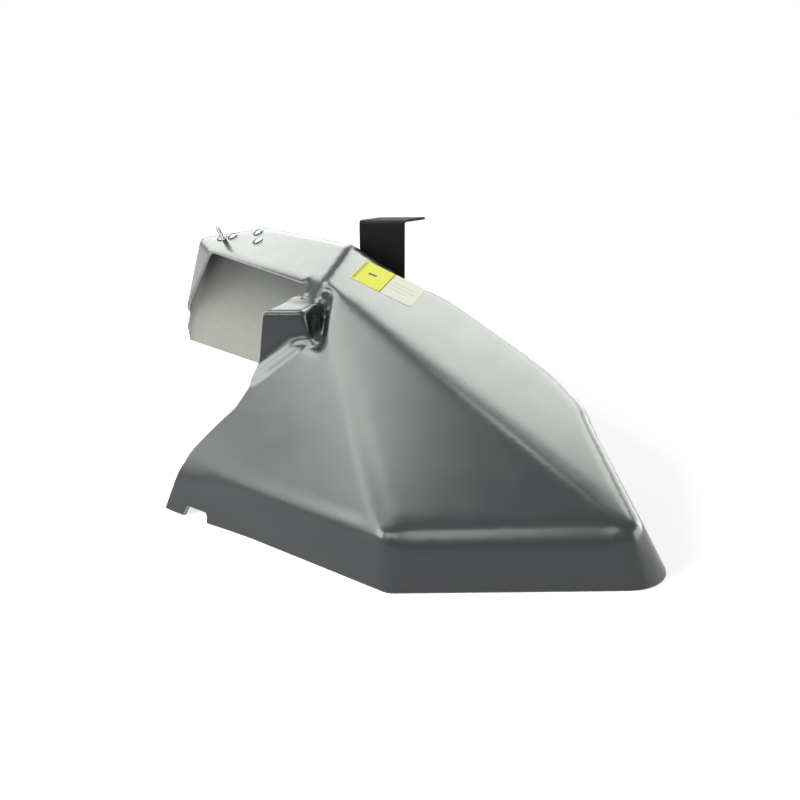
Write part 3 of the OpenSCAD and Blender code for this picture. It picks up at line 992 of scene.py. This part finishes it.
def build_world(lamps):
    """White to the camera and through clear parts, and softer as a light."""
    world = bpy.data.worlds.new("studio")
    bpy.context.scene.world = world
    world.use_nodes = True
    tree = world.node_tree
    tree.nodes.clear()
    path = node(tree, "ShaderNodeLightPath")
    seen = node(tree, "ShaderNodeMath", {0: path.outputs["Is Camera Ray"], 1: path.outputs["Is Transmission Ray"]},
                operation="MAXIMUM")
    white = node(tree, "ShaderNodeBackground", {"Color": linear("#FFFFFF"), "Strength": 1.0})
    gloss = node(tree, "ShaderNodeBackground", {"Color": linear("#FFFFFF"), "Strength": lamps.gloss_world})
    soft = node(tree, "ShaderNodeBackground", {"Color": linear("#FFFFFF"), "Strength": lamps.soft_world})
    light = node(tree, "ShaderNodeMixShader", {
        0: path.outputs["Is Glossy Ray"], 1: soft.outputs[0], 2: gloss.outputs[0]})
    both = node(tree, "ShaderNodeMixShader", {0: seen.outputs[0], 1: light.outputs[0], 2: white.outputs[0]})
    node(tree, "ShaderNodeOutputWorld", {"Surface": both.outputs[0]})


def build_floor(lamps):
    """A plain pale floor that is white to the camera and in reflections where no shadow falls on it."""
    board, tree = new_material("matt_white_board")
    path = node(tree, "ShaderNodeLightPath")
    mirrored = node(tree, "ShaderNodeMath", {0: path.outputs["Is Glossy Ray"], 1: path.outputs["Is Transmission Ray"]},
                    operation="MAXIMUM")
    seen = node(tree, "ShaderNodeMath", {0: path.outputs["Is Camera Ray"], 1: mirrored.outputs[0]},
                operation="MAXIMUM")
    coords = node(tree, "ShaderNodeTexCoord").outputs["Object"]
    tone = tinted(tree, ranged(tree, soft_noise(tree, coords, 400), 0, 1), linear("#F3F3F3"), linear("#F6F6F6"))
    matt = node(tree, "ShaderNodeBsdfDiffuse", {"Color": tone})
    glow = node(tree, "ShaderNodeEmission", {"Color": linear("#FFFFFF"), "Strength": lamps.floor_glow})
    lit = node(tree, "ShaderNodeAddShader", {0: matt.outputs[0], 1: glow.outputs[0]})
    both = node(tree, "ShaderNodeMixShader", {0: seen.outputs[0], 1: matt.outputs[0], 2: lit.outputs[0]})
    node(tree, "ShaderNodeOutputMaterial", {"Surface": both.outputs[0]})
    corners = [(-4, -4, 0), (4, -4, 0), (4, 1.7, 0), (-4, 1.7, 0)]
    floor = mesh_object("floor", corners, [(0, 1, 2, 3)], board, smooth=False)
    floor.location.z = -0.0003


def build_camera():
    camera = bpy.data.objects.new("camera", bpy.data.cameras.new("camera"))
    camera.data.lens = 63
    camera.data.clip_end = 50
    camera.location = (-0.0200, -0.9697, 0.5562)
    camera.rotation_euler = (math.radians(68), 0, math.radians(-1.2))
    bpy.context.scene.collection.objects.link(camera)
    bpy.context.scene.camera = camera


# Sizes and colours


class HoodSizes(bpy.types.PropertyGroup):
    """Sizes of the moulded hood."""

    width: FloatProperty(name="Width", description="Width of the hood", default=0.457, unit="LENGTH")
    length: FloatProperty(name="Length", description="Length of the hood", default=0.617, unit="LENGTH")
    height: FloatProperty(name="Height", description="Height of the hood at its peak", default=0.206, unit="LENGTH")
    sheet: FloatProperty(name="Sheet", description="Thickness of the plastic sheet", default=0.004, unit="LENGTH")
    fold: FloatProperty(name="Fold", description="Radius of the folds", default=0.010, unit="LENGTH")
    skirt: FloatProperty(name="Skirt", description="Height of the skirts", default=0.047, unit="LENGTH")
    corner: FloatProperty(name="Corner", description="Radius of the foot of the right front corner",
                          default=0.038, unit="LENGTH")
    corner_top: FloatProperty(name="Corner top", description="Radius of the top of that corner",
                              default=0.020, unit="LENGTH")
    shelf_drop: FloatProperty(name="Shelf drop", description="Depth of the shelf under the peak",
                              default=0.032, unit="LENGTH")
    shelf_width: FloatProperty(name="Shelf width", description="Width of the bolting shelf",
                               default=0.031, unit="LENGTH")
    shelf_hole: FloatProperty(name="Shelf hole", description="Diameter of the hole in the shelf",
                              default=0.0065, unit="LENGTH")
    pad_up: FloatProperty(name="Pad height", description="Height of the raised pad round the shelf's box",
                          default=0.003, unit="LENGTH")
    pad_out: FloatProperty(name="Pad width", description="How far the raised pad runs out from the box",
                           default=0.007, unit="LENGTH")
    lip: FloatProperty(name="Lip", description="Height of the lip over the mouth", default=0.0025, unit="LENGTH")
    trim: FloatProperty(name="Trim", description="Radius of the trimmed mouth's corners", default=0.007, unit="LENGTH")
    notch_length: FloatProperty(name="Notch length", description="Length of the notch in the left skirt",
                                default=0.029, unit="LENGTH")
    notch_height: FloatProperty(name="Notch height", description="Height of that notch", default=0.010, unit="LENGTH")
    step: FloatProperty(name="Step", description="How far the step around the box lies below the shelf",
                        default=0.030, unit="LENGTH")
    crease_reach: FloatProperty(name="Crease reach", description="Half width of the soft crease",
                                default=0.012, unit="LENGTH")
    ridge_reach: FloatProperty(name="Ridge reach", description="Half width of the soft ridge",
                               default=0.014, unit="LENGTH")
    skirt_reach: FloatProperty(name="Skirt reach", description="Half width of the fold over the skirts",
                               default=0.022, unit="LENGTH")
    bow: FloatProperty(name="Bow", description="How far the far edge bows outwards", default=0.015, unit="LENGTH")
    flare: FloatProperty(name="Flare", description="Flare of the foot of the left skirt's free end",
                         default=0.0095, unit="LENGTH")
    flare_top: FloatProperty(name="Flare top", description="Inward lean of the top of that end",
                             default=0.0045, unit="LENGTH")
    edge: FloatProperty(name="Edge", description="Radius of the trimmed edges", default=0.0009, unit="LENGTH")


class FittingSizes(bpy.types.PropertyGroup):
    """Sizes of the fasteners and of the plate behind them."""

    screw: FloatProperty(name="Screw", description="Diameter of the screws", default=0.006, unit="LENGTH")
    head: FloatProperty(name="Head", description="Diameter of the domed heads", default=0.0115, unit="LENGTH")
    head_height: FloatProperty(name="Head height", description="Height of the domed heads",
                               default=0.0032, unit="LENGTH")
    nut: FloatProperty(name="Nut", description="Thickness of the nuts", default=0.0045, unit="LENGTH")
    plate: FloatProperty(name="Plate", description="Thickness of the backing plate", default=0.0025, unit="LENGTH")
    stud: FloatProperty(name="Stud", description="Diameter of the threaded stud", default=0.005, unit="LENGTH")
    stud_out: FloatProperty(name="Stud length", description="Length of the stud above the hood",
                            default=0.016, unit="LENGTH")
    bolt: FloatProperty(name="Bolt", description="Diameter of the hanger's bolts", default=0.006, unit="LENGTH")
    bolt_pitch: FloatProperty(name="Bolt pitch", description="Distance between those bolts",
                              default=0.034, unit="LENGTH")


class HangerSizes(bpy.types.PropertyGroup):
    """Sizes of the steel hanger."""

    width: FloatProperty(name="Width", description="Width of the upright", default=0.042, unit="LENGTH")
    top: FloatProperty(name="Top", description="Height of the flange above the peak", default=0.019, unit="LENGTH")
    flange: FloatProperty(name="Flange", description="Depth of the level flange", default=0.023, unit="LENGTH")
    steel: FloatProperty(name="Steel", description="Thickness of the steel", default=0.0025, unit="LENGTH")
    foot_length: FloatProperty(name="Foot length", description="Length of the foot plate",
                               default=0.062, unit="LENGTH")
    foot_width: FloatProperty(name="Foot width", description="Width of the foot plate", default=0.064, unit="LENGTH")


class StickerSizes(bpy.types.PropertyGroup):
    """Sizes of the two-tone sticker."""

    length: FloatProperty(name="Length", description="Length of both halves", default=0.062, unit="LENGTH")
    width: FloatProperty(name="Width", description="Width of the sticker", default=0.033, unit="LENGTH")


class Colours(bpy.types.PropertyGroup):
    """Colours of the finishes."""

    sheet_dark: FloatVectorProperty(name="Plastic, dark", description="Darker tone of the plastic",
                                    default=linear("#24262B"), size=4, subtype="COLOR")
    sheet_light: FloatVectorProperty(name="Plastic, light", description="Lighter tone of the plastic",
                                     default=linear("#282A2E"), size=4, subtype="COLOR")
    # Painted light: the pale colour low on the inside stands in for light falling on the lower inside wall.
    sheet_painted_light: FloatVectorProperty(name="Plastic, worn", description="Plastic that painted_lamplight has dulled, on the inside",
                                    default=linear("#A3A39E"), size=4, subtype="COLOR")
    # Painted highlight: the pale trimmed edges stand in for the light that the cut edges catch.
    sheet_cut_highlight: FloatVectorProperty(name="Plastic, cut", description="Trimmed edges of the plastic",
                                   default=linear("#8E908E"), size=4, subtype="COLOR")
    coat_dark: FloatVectorProperty(name="Powder coat, dark", description="Darker tone of the coated steel",
                                   default=linear("#060808"), size=4, subtype="COLOR")
    coat_light: FloatVectorProperty(name="Powder coat, light", description="Lighter tone of the coated steel",
                                    default=linear("#0A0C0C"), size=4, subtype="COLOR")
    zinc_dark: FloatVectorProperty(name="Zinc, dark", description="Darker tone of the zinc plate",
                                   default=linear("#6E7272"), size=4, subtype="COLOR")
    zinc_light: FloatVectorProperty(name="Zinc, light", description="Lighter tone of the zinc plate",
                                    default=linear("#8C9090"), size=4, subtype="COLOR")
    film_yellow: FloatVectorProperty(name="Film, yellow", description="Yellow half of the sticker",
                                     default=linear("#FBF93A"), size=4, subtype="COLOR")
    film_pale: FloatVectorProperty(name="Film, pale", description="Pale half of the sticker",
                                   default=linear("#F8F7E0"), size=4, subtype="COLOR")
    film_ink: FloatVectorProperty(name="Film, ink", description="Printed lines of the sticker",
                                  default=linear("#3A3A34"), size=4, subtype="COLOR")


class Lamps(bpy.types.PropertyGroup):
    """Brightness of the studio, as radiance where white is 1."""

    soft_world: FloatProperty(name="Soft world", description="Surroundings as a soft light", default=0.35, min=0)
    gloss_world: FloatProperty(name="Gloss world", description="Surroundings in reflections", default=0.85, min=0)
    floor_glow: FloatProperty(name="Floor glow", description="Added brightness of the floor", default=0.62, min=0)
    overhead: FloatProperty(name="Overhead", description="Lamp above on the left", default=8.8, min=0)
    zenith: FloatProperty(name="Zenith", description="Small lamp overhead on the right", default=8.0, min=0)
    back_right: FloatProperty(name="Back right", description="Lamp behind on the right", default=10.5, min=0)
    back: FloatProperty(name="Back", description="Low wide lamp behind", default=3.4, min=0)
    left: FloatProperty(name="Left", description="Wide weak lamp on the left", default=3.4, min=0)
    key: FloatProperty(name="Key", description="Lamp in front on the left, which lights the matt surfaces too", default=12.0, min=0)
    rim: FloatProperty(name="Rim", description="Low wide lamp behind on the right", default=5.0, min=0)
    right: FloatProperty(name="Right", description="Low lamp on the right", default=6.0, min=0)
    front: FloatProperty(name="Front", description="Lamp above the camera", default=5.2, min=0)


class Deflector(bpy.types.PropertyGroup):
    """Everything that drives the deflector's looks."""

    hood: PointerProperty(name="Hood", description="Sizes of the hood", type=HoodSizes)
    fittings: PointerProperty(name="Fittings", description="Sizes of the fasteners", type=FittingSizes)
    hanger: PointerProperty(name="Hanger", description="Sizes of the hanger", type=HangerSizes)
    sticker: PointerProperty(name="Sticker", description="Sizes of the sticker", type=StickerSizes)
    colours: PointerProperty(name="Colours", description="Colours of the finishes", type=Colours)
    lamps: PointerProperty(name="Lamps", description="Brightness of the lamps", type=Lamps)


# Operators


class DEFLECTOR_OT_hood(bpy.types.Operator):
    """Add the moulded hood with its trimmed mouth, lip, shelf and notch"""

    bl_idname = "deflector.hood"
    bl_label = "Hood"
    bl_options = {"REGISTER", "UNDO"}

    def execute(self, context):
        looks = context.scene.deflector
        verts, normals, faces, marks = hood_mesh(in_mm(looks.hood))
        made = mesh_object("hood", verts * MM, faces, moulded_abs(looks.colours))
        for name, values in marks.items():
            made.data.attributes.new(name, "FLOAT", "POINT").data.foreach_set("value", values)
        made.data.normals_split_custom_set_from_vertices([tuple(unit(n)) for n in normals])
        place(made, "hood_plastic", "hood_shell")
        return {"FINISHED"}


class DEFLECTOR_OT_hanger(bpy.types.Operator):
    """Add the black steel hanger on the far wall, with its bolts and nuts"""

    bl_idname = "deflector.hanger"
    bl_label = "Hanger"
    bl_options = {"REGISTER", "UNDO"}

    def execute(self, context):
        looks = context.scene.deflector
        form, mm, fit = Form(in_mm(looks.hood)), in_mm(looks.hanger), in_mm(looks.fittings)
        hanger_piece(form, mm, looks.colours)
        zinc = zinc_plate(looks.colours)
        wall = seat(form.foot_mid * MM, form.n_far, form.wall_turn)
        way = np.array([math.cos(BOLT_TURN), math.sin(BOLT_TURN)])
        spots = on(wall, [np.array([2.6, -1.0]) + s * fit.bolt_pitch / 2 * way for s in (-1, 1)])
        lift, flats = mm.steel + 0.2, math.cos(math.pi / 6)
        bolt = joined(hexagon(1.7 * fit.bolt * flats, lift, lift + 4),
                      thread(fit.bolt, lift - 14, lift + 0.3))
        below = -form.mm.sheet - 0.1
        nut = hexagon(1.9 * fit.bolt * flats, below - fit.nut, below, fit.bolt + 0.2)
        turn = wall.to_quaternion()
        place(scatter("hanger_bolt_set", spots, turn, bolt, zinc), "zinc_steel", "hanger_bolts")
        place(scatter("hanger_nut_set", spots, turn, nut, zinc), "zinc_steel", "hanger_nuts")
        return {"FINISHED"}


class DEFLECTOR_OT_end_fittings(bpy.types.Operator):
    """Add the end wall's screws, nuts and threaded stud, and finish the plate behind them"""

    bl_idname = "deflector.end_fittings"
    bl_label = "End fittings"
    bl_options = {"REGISTER", "UNDO"}

    def execute(self, context):
        looks = context.scene.deflector
        form, fit = Form(in_mm(looks.hood)), in_mm(looks.fittings)
        panel = seat(form.end_mid * MM, form.n_left)
        turn, flats, zinc = panel.to_quaternion(), math.cos(math.pi / 6), zinc_plate(looks.colours)
        under = form.mm.sheet + fit.plate + fit.nut + 3
        below = -form.mm.sheet - fit.plate - 0.2
        screw = joined(cross_head(fit.head, fit.head_height), thread(fit.screw, -under, 0.3))
        nut = hexagon(1.9 * fit.screw * flats, below - fit.nut, below, fit.screw + 0.2)
        shank = fit.stud - 1
        stud = joined(thread(fit.stud, 0, fit.stud_out, 0.8, 32), thread(shank, -under, 0.3, 0.7))
        stud_nut = hexagon(1.9 * shank * flats, below - fit.nut, below, shank + 0.2)
        screws, studs = on(panel, SCREWS, 0.1), on(panel, [STUD])
        place(scatter("screws", screws, turn, screw, zinc), "zinc_steel", "end_screws")
        place(scatter("screw_nuts", on(panel, SCREWS), turn, nut, zinc), "zinc_steel", "end_nuts")
        place(scatter("stud", studs, turn, stud, zinc), "zinc_steel", "end_stud")
        place(scatter("stud_nut_piece", studs, turn, stud_nut, zinc), "zinc_steel", "stud_nut")
        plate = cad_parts["end_plate"]
        plate.data.materials.clear()
        plate.data.materials.append(zinc)
        return {"FINISHED"}


class DEFLECTOR_OT_sticker(bpy.types.Operator):
    """Add the two halves of the sticker on the right panel"""

    bl_idname = "deflector.sticker"
    bl_label = "Sticker"
    bl_options = {"REGISTER", "UNDO"}

    def execute(self, context):
        looks = context.scene.deflector
        form = Form(in_mm(looks.hood))
        for side in (-1, 1):
            film_piece(side, form, in_mm(looks.sticker), looks.colours)
        return {"FINISHED"}


class DEFLECTOR_OT_stage(bpy.types.Operator):
    """Add the floor, the world, the lamps and the camera"""

    bl_idname = "deflector.stage"
    bl_label = "Stage"
    bl_options = {"REGISTER", "UNDO"}

    def execute(self, context):
        lamps = context.scene.deflector.lamps
        context.scene.view_settings.view_transform = "Standard"
        build_world(lamps)
        build_floor(lamps)
        softbox("overhead", (-0.82, 0.40, 1.4), (0, 0, -1), 1.64, 1.0, lamps.overhead)
        softbox("zenith", (0.42, 0.36, 1.4), (0, 0, -1), 0.24, 0.24, lamps.zenith)
        softbox("back_right", (0.80, 1.30, 1.4), (0, 0, -1), 1.2, 1.04, lamps.back_right)
        softbox("back", (-0.70, 2.0, 0.72), (0, -1, 0), 1.4, 0.9, lamps.back)
        softbox("left", (-1.4, 0.15, 0.62), (1, 0, 0), 1.0, 0.8, lamps.left)
        softbox("rim", (1.3, 1.7, 0.60), (-1.3, -1.4, -0.3), 2.6, 1.2, lamps.rim)
        softbox("right", (1.2, 0.1, 0.25), (-1, 0, 0), 1.4, 0.5, lamps.right)
        softbox("front", (-0.35, -1.6, 1.4), (0.35, 1.8, -1.3), 1.5, 0.9, lamps.front)
        softbox("key", (-1.5, -0.7, 1.1), (1.49, 0.98, -1.0), 1.0, 1.0, lamps.key, matt=True)
        build_camera()
        return {"FINISHED"}


PIECES = (DEFLECTOR_OT_hood, DEFLECTOR_OT_hanger, DEFLECTOR_OT_end_fittings, DEFLECTOR_OT_sticker,
          DEFLECTOR_OT_stage)


class DEFLECTOR_PT_panel(bpy.types.Panel):
    """The deflector's pieces and what drives them"""

    bl_idname = "DEFLECTOR_PT_panel"
    bl_label = "Mower deck deflector"
    bl_space_type = "VIEW_3D"
    bl_region_type = "UI"
    bl_category = "Deflector"

    def draw(self, context):
        looks = context.scene.deflector
        for piece in PIECES:
            self.layout.operator(piece.bl_idname)
        for part in ("hood", "fittings", "hanger", "sticker", "colours", "lamps"):
            box = self.layout.box()
            box.label(text=part.capitalize())
            group = getattr(looks, part)
            for name in group.__annotations__:
                box.prop(group, name)


CLASSES = (HoodSizes, FittingSizes, HangerSizes, StickerSizes, Colours, Lamps, Deflector, *PIECES,
           DEFLECTOR_PT_panel)


def register():
    for item in CLASSES:
        bpy.utils.register_class(item)
    bpy.types.Scene.deflector = PointerProperty(type=Deflector)


def unregister():
    del bpy.types.Scene.deflector
    for item in reversed(CLASSES):
        bpy.utils.unregister_class(item)


def main():
    register()
    bpy.ops.deflector.hood()
    bpy.ops.deflector.hanger()
    bpy.ops.deflector.end_fittings()
    bpy.ops.deflector.sticker()
    bpy.ops.deflector.stage()


if __name__ == "__main__":
    main()
